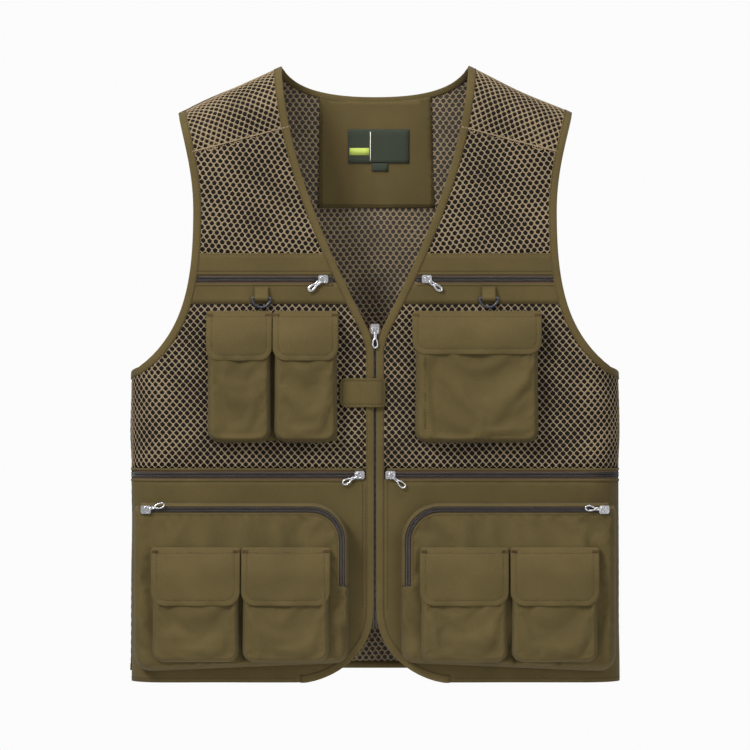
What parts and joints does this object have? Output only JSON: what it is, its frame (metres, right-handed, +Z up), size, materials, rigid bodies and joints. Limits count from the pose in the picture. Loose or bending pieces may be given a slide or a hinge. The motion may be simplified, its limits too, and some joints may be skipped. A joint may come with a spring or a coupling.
{
  "type": "fishing vest",
  "caption": "Sleeveless zip-front fishing vest in mesh and woven cloth, with flap pockets, zipped cargo pockets, hanging rings and a front tab.",
  "frame": {"origin": "midway between the two neck points, on the shoulder line", "axes": "+Z up the body, the front faces -Y, the wearer's left is +X"},
  "size_m": [0.5412, 0.1179, 0.6816],
  "materials": {
    "cloth": "satin",
    "binding": "matte",
    "mesh": "matte",
    "zip": "satin",
    "steel": "polished",
    "ring_plastic": "satin",
    "label": "matte",
    "hook_tape": "matte"
  },
  "bodies": {
    "back": {"back_mesh": "mesh", "back_hem_band": "cloth", "shoulder_yokes": "mesh", "neck_facing": "cloth", "neck_label": "label", "size_tab": "label", "neck_binding": "binding", "back_armhole_bindings": "binding"},
    "front_right": {"upper_mesh_right": "mesh", "chest_band_right": "cloth", "belly_mesh_right": "mesh", "waist_panel_right": "cloth", "front_bindings_right": "binding", "main_zip_right": "zip", "chest_zip_right": "zip", "waist_zip_right": "zip", "cargo_zip_right": "zip", "cargo_pocket_right": "cloth", "small_pockets_right": "cloth", "closure_patches_right": "hook_tape", "ring_loop_right": "binding", "chest_pockets_right": "cloth"},
    "front_left": {"upper_mesh_left": "mesh", "chest_band_left": "cloth", "belly_mesh_left": "mesh", "waist_panel_left": "cloth", "front_bindings_left": "binding", "main_zip_left": "zip", "chest_zip_left": "zip", "waist_zip_left": "zip", "cargo_zip_left": "zip", "cargo_pocket_left": "cloth", "small_pockets_left": "cloth", "closure_patches_left": "hook_tape", "ring_loop_left": "binding", "chest_pocket_left": "cloth"},
    "chest_flap_right_inner": {"chest_flap_right_inner": "cloth"},
    "chest_flap_right_outer": {"chest_flap_right_outer": "cloth"},
    "chest_flap_left": {"chest_flap_left": "cloth"},
    "small_flap_right_inner": {"small_flap_right_inner": "cloth"},
    "small_flap_right_outer": {"small_flap_right_outer": "cloth"},
    "small_flap_left_inner": {"small_flap_left_inner": "cloth"},
    "small_flap_left_outer": {"small_flap_left_outer": "cloth"},
    "d_ring_right": {"d_ring_right": "ring_plastic"},
    "d_ring_left": {"d_ring_left": "ring_plastic"},
    "front_tab": {"front_tab": "cloth"},
    "main_slider": {"main_slider": "steel"},
    "main_pull": {"main_pull": "steel"},
    "chest_slider_right": {"chest_slider_right": "steel"},
    "chest_pull_right": {"chest_pull_right": "steel"},
    "chest_slider_left": {"chest_slider_left": "steel"},
    "chest_pull_left": {"chest_pull_left": "steel"},
    "waist_slider_right": {"waist_slider_right": "steel"},
    "waist_pull_right": {"waist_pull_right": "steel"},
    "waist_slider_left": {"waist_slider_left": "steel"},
    "waist_pull_left": {"waist_pull_left": "steel"},
    "cargo_slider_right": {"cargo_slider_right": "steel"},
    "cargo_pull_right": {"cargo_pull_right": "steel"},
    "cargo_slider_left": {"cargo_slider_left": "steel"},
    "cargo_pull_left": {"cargo_pull_left": "steel"}
  },
  "joints": [
    {"name": "front_right_swing", "type": "hinge", "parent": "back", "child": "front_right", "pos_m": [-0.27, 0, -0.509], "axis": [0, 0, -1], "range_deg": [0, 30]},
    {"name": "front_left_swing", "type": "hinge", "parent": "back", "child": "front_left", "pos_m": [0.27, 0, -0.509], "axis": [0, 0, 1], "range_deg": [0, 30]},
    {"name": "chest_flap_right_inner_lift", "type": "hinge", "parent": "front_right", "child": "chest_flap_right_inner", "pos_m": [-0.076, -0.042, -0.271], "axis": [-1, 0, 0], "range_deg": [0, 120]},
    {"name": "chest_flap_right_outer_lift", "type": "hinge", "parent": "front_right", "child": "chest_flap_right_outer", "pos_m": [-0.149, -0.042, -0.271], "axis": [-1, 0, 0], "range_deg": [0, 75]},
    {"name": "chest_flap_left_lift", "type": "hinge", "parent": "front_left", "child": "chest_flap_left", "pos_m": [0.112, -0.042, -0.271], "axis": [-1, 0, 0], "range_deg": [0, 75]},
    {"name": "small_flap_right_inner_lift", "type": "hinge", "parent": "front_right", "child": "small_flap_right_inner", "pos_m": [-0.09775, -0.064, -0.53], "axis": [-1, 0, 0], "range_deg": [0, 120]},
    {"name": "small_flap_right_outer_lift", "type": "hinge", "parent": "front_right", "child": "small_flap_right_outer", "pos_m": [-0.1965, -0.064, -0.53], "axis": [-1, 0, 0], "range_deg": [0, 120]},
    {"name": "d_ring_right_swing", "type": "hinge", "parent": "front_right", "child": "d_ring_right", "pos_m": [-0.125, -0.0432, -0.257], "axis": [-1, 0, 0], "range_deg": [0, 100]},
    {"name": "small_flap_left_inner_lift", "type": "hinge", "parent": "front_left", "child": "small_flap_left_inner", "pos_m": [0.09775, -0.064, -0.53], "axis": [-1, 0, 0], "range_deg": [0, 120]},
    {"name": "small_flap_left_outer_lift", "type": "hinge", "parent": "front_left", "child": "small_flap_left_outer", "pos_m": [0.1965, -0.064, -0.53], "axis": [-1, 0, 0], "range_deg": [0, 120]},
    {"name": "d_ring_left_swing", "type": "hinge", "parent": "front_left", "child": "d_ring_left", "pos_m": [0.125, -0.0432, -0.257], "axis": [-1, 0, 0], "range_deg": [0, 100]},
    {"name": "front_tab_open", "type": "hinge", "parent": "front_left", "child": "front_tab", "pos_m": [0.009, -0.044, -0.361], "axis": [0, 0, 1], "range_deg": [0, 140]},
    {"name": "main_slider_travel", "type": "slide", "parent": "front_right", "child": "main_slider", "axis": [0, 0, -1], "range_m": [0, 0.298]},
    {"name": "main_pull_lift", "type": "hinge", "parent": "main_slider", "child": "main_pull", "pos_m": [0, -0.043, -0.291], "axis": [-1, 0, 0], "range_deg": [0, 120]},
    {"name": "chest_slider_right_travel", "type": "slide", "parent": "front_right", "child": "chest_slider_right", "axis": [-1, 0, 0], "range_m": [0, 0.124]},
    {"name": "chest_pull_right_lift", "type": "hinge", "parent": "chest_slider_right", "child": "chest_pull_right", "pos_m": [-0.057, -0.043, -0.236], "axis": [-0.6157, 0, 0.788], "range_deg": [0, 120]},
    {"name": "chest_slider_left_travel", "type": "slide", "parent": "front_left", "child": "chest_slider_left", "axis": [1, 0, 0], "range_m": [0, 0.124]},
    {"name": "chest_pull_left_lift", "type": "hinge", "parent": "chest_slider_left", "child": "chest_pull_left", "pos_m": [0.057, -0.043, -0.236], "axis": [-0.6157, 0, -0.788], "range_deg": [0, 120]},
    {"name": "waist_slider_right_travel", "type": "slide", "parent": "front_right", "child": "waist_slider_right", "axis": [-1, 0, 0], "range_m": [0, 0.196]},
    {"name": "waist_pull_right_lift", "type": "hinge", "parent": "waist_slider_right", "child": "waist_pull_right", "pos_m": [-0.017, -0.043, -0.4515], "axis": [-0.454, 0, 0.891], "range_deg": [0, 120]},
    {"name": "waist_slider_left_travel", "type": "slide", "parent": "front_left", "child": "waist_slider_left", "axis": [1, 0, 0], "range_m": [0, 0.196]},
    {"name": "waist_pull_left_lift", "type": "hinge", "parent": "waist_slider_left", "child": "waist_pull_left", "pos_m": [0.017, -0.043, -0.4515], "axis": [-0.6428, 0, -0.766], "range_deg": [0, 120]},
    {"name": "cargo_slider_right_travel", "type": "slide", "parent": "front_right", "child": "cargo_slider_right", "axis": [1, 0, 0], "range_m": [0, 0.172]},
    {"name": "cargo_pull_right_lift", "type": "hinge", "parent": "cargo_slider_right", "child": "cargo_pull_right", "pos_m": [-0.251, -0.065, -0.489], "axis": [0.2756, 0, -0.9613], "range_deg": [0, 120]},
    {"name": "cargo_slider_left_travel", "type": "slide", "parent": "front_left", "child": "cargo_slider_left", "axis": [-1, 0, 0], "range_m": [0, 0.172]},
    {"name": "cargo_pull_left_lift", "type": "hinge", "parent": "cargo_slider_left", "child": "cargo_pull_left", "pos_m": [0.251, -0.065, -0.489], "axis": [0.1045, 0, 0.9945], "range_deg": [0, 120]}
  ],
  "couplings": [
    {"joint": "front_left_swing", "follows": "front_right_swing", "ratio": 1}
  ]
}
